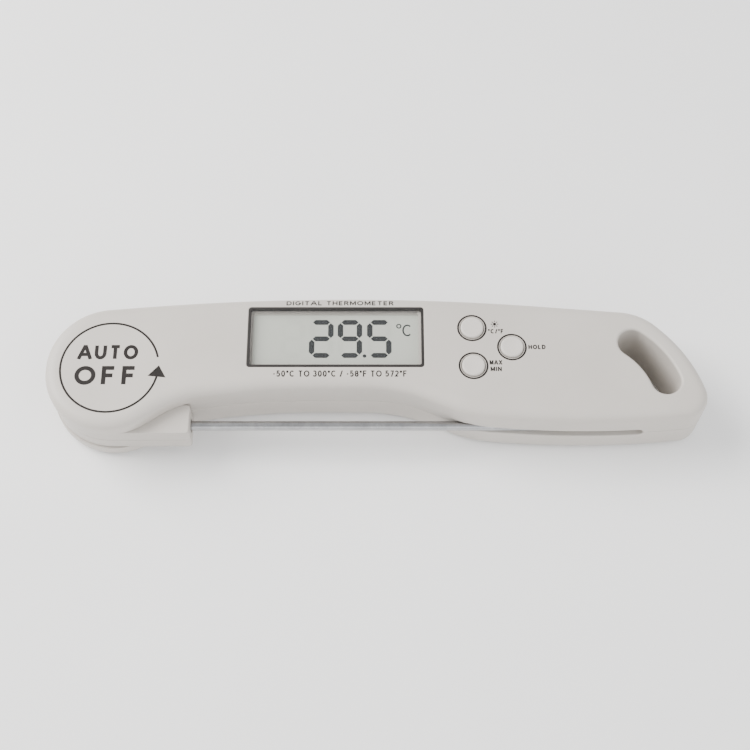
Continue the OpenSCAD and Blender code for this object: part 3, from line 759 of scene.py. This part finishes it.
key_lo, key_hi = heights("light_key")
for name, centre in KEYS.items():
    # Stem, flange and cap, then a rolled edge and a top that dips a little
    profile = [(0, key_lo), (1.7, key_lo), (1.7, key_lo + 0.8), (3.0, key_lo + 0.8), (3.0, key_lo + 1.4),
               (4.0, key_lo + 1.4), (4.0, key_lo + 2.4), (3.0, key_lo + 2.4), (3.0, key_hi - 0.45)]
    for k in range(1, 7):
        t = math.radians(15 * k)
        profile.append((3.0 - 0.45 * (1 - math.cos(t)), key_hi - 0.45 * (1 - math.sin(t))))
    for r in (2.2, 1.7, 1.2, 0.6, 0):
        profile.append((r, key_hi - 0.12 * (1 - (r / 2.55) ** 2)))
    cap = lathe(name, centre, profile)
    finish(cap, name + "_cap", "key", name + "_button", [name + "_key"], 40)

# Thin rubber collars that hold the keys up
COLLAR_WALL = 0.5
web_lo, web_hi = heights("light_web")
for name, centre in KEYS.items():
    outer, inner = [(0, web_lo)], [(0, web_lo - 0.5), (3.9, web_lo - 0.5)]
    for k in range(9):
        t = k / 8
        r = 4.4 - 1.7 * (0.6 * t + 0.4 * t * t * (3 - 2 * t))
        z = web_lo + (web_hi - web_lo) * t
        outer.append((r, z))
        inner.append((r - COLLAR_WALL, z))
    outer.append((0, web_hi))
    inner += [(2.2, web_hi + 0.5), (0, web_hi + 0.5)]
    collar = combine(lathe("collar", centre, outer), lathe("cutter", centre, inner))
    finish(collar, name + "_collar", "pad", "case", [name + "_web"], 40)
    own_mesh(collar)

# ---------------------------------------------------------------- printed legends

INK_LO, INK_HI = TOP - 0.03, TOP + 0.025

degree = band(arc(75.3, 12.9, 0.55, 0.55, 0, 360, 32), 0.3, LCD_LO, LCD_HI, True)
celsius = words("C", (76.2, 78.9, 9.9, 13.4), 0.42, LCD_LO, LCD_HI)
finish(join("unit", [degree, celsius]), "reading_unit", "segment", "case", shade=None)

ring = band(arc(0, 0, 12.74, 12.74, 13, 348, 140), 0.55, INK_LO, INK_HI)
arrowhead = prism([(10.1, -2.5), (14.8, -3.0), (12.85, 0.5)], INK_LO, INK_HI)
finish(combine(ring, arrowhead, "UNION"), "auto_off_ring", "ink", "case", shade=None)
finish(join("auto", [words("AUTO", (-8.55, 7.2, 2.2, 6.4), 0.95, INK_LO, INK_HI),
                     words("OFF", (-8.85, 7.2, -5.1, 0.3), 1.15, INK_LO, INK_HI, 0.3)]),
       "auto_off_words", "ink", "case", shade=None)

key_rings = [band(arc(*p, 3.66, 3.66, 0, 360, 72), 0.46, INK_LO, INK_HI, True) for p in KEYS.values()]
finish(join("rings", key_rings), "key_rings", "ink", "case", shade=None)

# A small sun beside the light key
sun = (KEYS["light"][0] + 6.0, KEYS["light"][1] + 1.15)
legend = [prism(ring_points(sun, 0.42, 20), INK_LO, INK_HI)]
for inside, outside in zip(ring_points(sun, 0.62, 8), ring_points(sun, 1.0, 8)):
    legend.append(band([inside, outside], 0.2, INK_LO, INK_HI))


def beside(key, text, x0, x1, y0, y1, weight):
    """Words in a box given from a key's centre."""
    x, y = KEYS[key]
    return words(text, (x + x0, x + x1, y + y0, y + y1), weight, INK_LO, INK_HI)


legend.append(beside("light", "°C/°F", 4.2, 8.3, -1.6, -0.3, 0.28))
legend.append(beside("hold", "HOLD", 4.3, 8.8, -0.62, 0.68, 0.31))
legend.append(beside("memory", "MAX", 4.2, 7.5, 0.3, 1.6, 0.3))
legend.append(beside("memory", "MIN", 4.4, 7.3, -1.6, -0.3, 0.3))
finish(join("legends", legend), "key_legends", "ink", "case", shade=None)

title = words("DIGITAL THERMOMETER", (45.5, 73.9, 18.2, 19.7), 0.3, INK_LO, INK_HI)
finish(drape(title, front), "title_line", "ink", "case", shade=None)
finish(words("-50°C TO 300°C / -58°F TO 572°F", (42.5, 77.3, -2.75, -1.0), 0.31, INK_LO, INK_HI),
       "range_line", "ink", "case", shade=None)

# ---------------------------------------------------------------- probe



def arm_half(name, z_out, sign):
    """One half of the hub with its arm; sign is 1 for the front half."""
    def outline(inset):
        return rounded(ARM, inset, 0.002)

    loops = [flat(outline(0.15), MID), flat(outline(0), MID + sign * 0.18)]
    loops.append(flat(outline(0), z_out - sign * 0.5))
    for k in range(1, 7):
        t = math.radians(15 * k)
        loops.append(flat(outline(0.5 * (1 - math.cos(t)) * 0.58), z_out - sign * 0.5 * (1 - math.sin(t))))
    half = loft(name, loops)
    combine(half, disc((0, 0), 3.2, MID - 2, MID + 2, 48))
    combine(half, brick(-0.9, 0.9, ROD_Y - 0.9, -2.0, MID - 0.9, MID + 0.9))
    combine(half, lathe_x("cutter", ROD_Y, MID, [(6, 1.27), (20.3, 1.27), (20.31, 1.9), (22, 1.9)], 48))
    combine(half, lathe_x("cutter", ROD_Y, MID, [(9, 2.42), (12.1, 2.42)], 48))
    crescent = disc((0, 0), 14.6, MID - 2.8, MID + 2.8, 96)
    combine(crescent, disc((0, 0), 9, MID - 4, MID + 4, 64))
    combine(crescent, brick(-30, 30, -30, 5, MID - 4, MID + 4))
    combine(half, crescent)
    combine(half, disc((13.4, 1.5), 1.55, MID - 2, MID + 2, 32))
    return half


ARM_SCREWS = [(-12, -3), (9.5, -5.4)]
arm_front = arm_half("arm_front", HUB_HI, 1)
combine(arm_front, disc((0, 0), 4.5, HUB_HI - 1, FACE - 1.2, 64), "UNION")
combine(arm_front, disc((0, 0), 3.2, MID - 1, TOP, 48))
seat = disc((0, 0), 8, HUB_HI - 0.95, HUB_HI + 1, 96)
combine(seat, disc((0, 0), 6.2, HUB_HI - 2, HUB_HI + 2, 64))
combine(arm_front, seat)
combine(arm_front, [disc(p, 0.75, MID - 1, HUB_HI - 1.2, 24) for p in ARM_SCREWS])
finish(arm_front, "arm_front_shell", "arm", "probe", ["probe_arm_front"])

arm_back = arm_half("arm_back", HUB_LO, -1)
combine(arm_back, disc((0, 0), 4.5, SKIN + 0.3, HUB_LO + 1, 64), "UNION")
combine(arm_back, [disc(p, 0.85, HUB_LO - 1, MID + 1, 24) for p in ARM_SCREWS])
combine(arm_back, [disc(p, 1.55, HUB_LO - 1, HUB_LO + 1.3, 40) for p in ARM_SCREWS])
finish(arm_back, "arm_back_shell", "arm", "probe", ["probe_arm_back"])

reach = (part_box("probe_tube")[1].x / MM) - HINGE[0]
root = (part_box("probe_tube")[0].x / MM) - HINGE[0]
ROD_R, TIP_R, TIP_L, TAPER, POINT = 1.25, 0.8, 19, 6, 2.6
profile = [(root, ROD_R - 0.3), (root, ROD_R)]
shoulder = reach - TIP_L - TAPER
for k in range(13):
    t = k / 12
    s = t * t * (3 - 2 * t)
    profile.append((shoulder + TAPER * t, ROD_R + (TIP_R - ROD_R) * s))
for k in range(11):
    t = k / 10
    profile.append((reach - POINT * (1 - t), TIP_R * (1 - t ** 1.6) ** 0.9 if t < 1 else 0))
rod = lathe_x("tube", ROD_Y, MID, profile, 64)
finish(rod, "probe_rod", "probe", "probe", ["probe_tube"], 40)

# ---------------------------------------------------------------- back fittings

cover_lo, cover_hi = heights("battery_cover")
cover = lathe("cover", BATTERY, [
    (0, cover_lo), (11.55, cover_lo), (11.85, cover_lo + 0.06), (12.15, cover_lo + 0.25),
    (12.3, cover_lo + 0.55), (12.3, cover_lo + 2), (11, cover_lo + 2), (11, 2.75), (9.9, 2.75),
    (9.9, 3.95), (11, 3.95), (11, cover_hi - 0.3),
    (10.7, cover_hi), (8.6, cover_hi), (8.6, cover_lo + 2.2), (0, cover_lo + 2.2)], 160)
combine(cover, lip_cut(lambda g: round_rect(BATTERY, 15 + 2 * g, 2 + 2 * g, 0.99 + g), 0.25, cover_lo, 1.2,
                       up=False))
# Two engraved arrows round the coin slot
for turn in (45, 225):
    combine(cover, band(arc(*BATTERY, 9.7, 9.7, turn - 22, turn + 22, 24), 0.5, cover_lo - 1, cover_lo + 0.2))
    head = []
    for r, angle in ((8.7, turn + 22), (10.7, turn + 22), (9.7, turn + 33)):
        t = math.radians(angle)
        head.append((BATTERY[0] + r * math.cos(t), BATTERY[1] + r * math.sin(t)))
    combine(cover, prism(head, cover_lo - 1, cover_lo + 0.2))
finish(cover, "cover_cap", "case", "cover", ["battery_cover"])


def pan_head(centre, head, shank, z0, z_tip, cross):
    """Pan-head screw, head down, with a cross recess and a plain shank."""
    h = head * 0.7
    screw = lathe("screw", centre, [
        (0, z0), (head * 0.55, z0 + 0.03), (head * 0.78, z0 + 0.14), (head * 0.93, z0 + 0.36),
        (head, z0 + 0.62), (head, z0 + h), (shank, z0 + h), (shank, z_tip - 0.5), (shank * 0.55, z_tip),
        (0, z_tip)], 48)
    w = cross * 0.26
    cross_points = [(-cross, -w), (-w, -w), (-w, -cross), (w, -cross), (w, -w), (cross, -w),
                    (cross, w), (w, w), (w, cross), (-w, cross), (-w, w), (-cross, w)]
    taper = 0.55
    loops = [flat([(centre[0] + x * s, centre[1] + y * s) for x, y in cross_points], z)
             for s, z in ((1.0, z0 - 0.5), (1.0, z0 + 0.02), (taper, z0 + cross * 0.75))]
    return combine(screw, loft("cutter", loops))


screw_lo, screw_hi = heights("case_screws")
finish(join("screws", [pan_head(p, 1.9, 0.98, screw_lo, screw_hi, 1.15) for p in SCREWS]),
       "case_screw_set", "screw", "case", ["case_screws"])

magnet_lo, magnet_hi = heights("back_magnets")
finish(join("magnets", [lathe("magnet", p, [
    (0, magnet_lo), (4.72, magnet_lo), (4.9, magnet_lo + 0.05), (5, magnet_lo + 0.2), (5, magnet_hi - 0.2),
    (4.8, magnet_hi), (0, magnet_hi)], 96) for p in MAGNETS]),
       "magnet_pair", "magnet", "case", ["back_magnets"])

# ---------------------------------------------------------------- CAD nodes that show as they are

LOOKS = {
    "case_gasket": "rubber", "lcd_panel": "lcd", "lcd_holder": "black", "backlight": "guide",
    "zebra_strip": "pad", "circuit_board": "board", "processor_blob": "chip", "board_components": "ceramic",
    "reed_switch": "reed", "board_screws": "screw", "keypad_base": "pad",
    "light_pill": "carbon", "hold_pill": "carbon", "memory_pill": "carbon", "battery_holder": "black",
    "coin_cell": "cell", "battery_plus_contact": "contact", "battery_minus_contact": "contact",
    "cover_seal": "rubber", "pivot_bushes": "bush", "friction_washer": "spring", "board_leads": "sleeve",
    "arm_screws": "screw", "probe_ferrule": "probe", "temperature_sensor": "bead", "sensor_leads": "sleeve",
    "hub_magnet": "magnet", "hub_seal": "rubber",
}
for name, look in LOOKS.items():
    for material_slot in NODES[name].material_slots:
        material_slot.material = M[look]

# ---------------------------------------------------------------- stage

scene = bpy.context.scene
floor_mesh = bpy.data.meshes.new("floor")
FLOOR_HALF, FLOOR_Z = 3, -0.0002
floor_corners = [(FLOOR_HALF * x, FLOOR_HALF * y, FLOOR_Z) for x, y in ((-1, -1), (1, -1), (1, 1), (-1, 1))]
floor_mesh.from_pydata(floor_corners, [], [(0, 1, 2, 3)])
floor = bpy.data.objects.new("floor", floor_mesh)
scene.collection.objects.link(floor)
floor_material = surface("floor_paper", (0.86, 0.855, 0.85), (0.89, 0.885, 0.88), 12,
                         (0.75, 0.85), (900, 0.02))
floor.data.materials.append(floor_material)


def area_light(name, place, target, size, power, colour=(1, 1, 1)):
    """Rectangular light that faces target."""
    data = bpy.data.lights.new(name, "AREA")
    data.shape, data.size, data.size_y, data.energy, data.color = "RECTANGLE", size[0], size[1], power, colour
    light = bpy.data.objects.new(name, data)
    light.location = place
    light.rotation_euler = (Vector(target) - Vector(place)).to_track_quat("-Z", "Y").to_euler()
    scene.collection.objects.link(light)


area_light("key", (-0.60, 0.24, 0.54), (0, 0, 0), (0.6, 0.6), 15.0, (1.0, 0.985, 0.965))
area_light("fill", (0.55, -0.25, 0.55), (0, 0, 0), (0.8, 0.8), 4.2, (0.97, 0.985, 1.0))
area_light("front", (0.0, -0.7, 0.35), (0, 0, 0), (0.9, 0.5), 2.0)

world = bpy.data.worlds.new("studio")
world.use_nodes = True
world.node_tree.nodes["Background"].inputs["Color"].default_value = (0.90, 0.91, 0.92, 1)
world.node_tree.nodes["Background"].inputs["Strength"].default_value = 1.02
scene.world = world

camera_data = bpy.data.cameras.new("camera")
camera_data.lens = 66
camera_data.sensor_width = 36
camera_data.clip_start, camera_data.clip_end = 0.01, 20
camera = bpy.data.objects.new("camera", camera_data)
elevation, distance = math.radians(64.5), 0.366
aim = Vector((0, 0, 0.010))
camera.location = aim + distance * Vector((0, -math.cos(elevation), math.sin(elevation)))
camera.rotation_euler = (aim - camera.location).to_track_quat("-Z", "Y").to_euler()
scene.collection.objects.link(camera)
scene.camera = camera
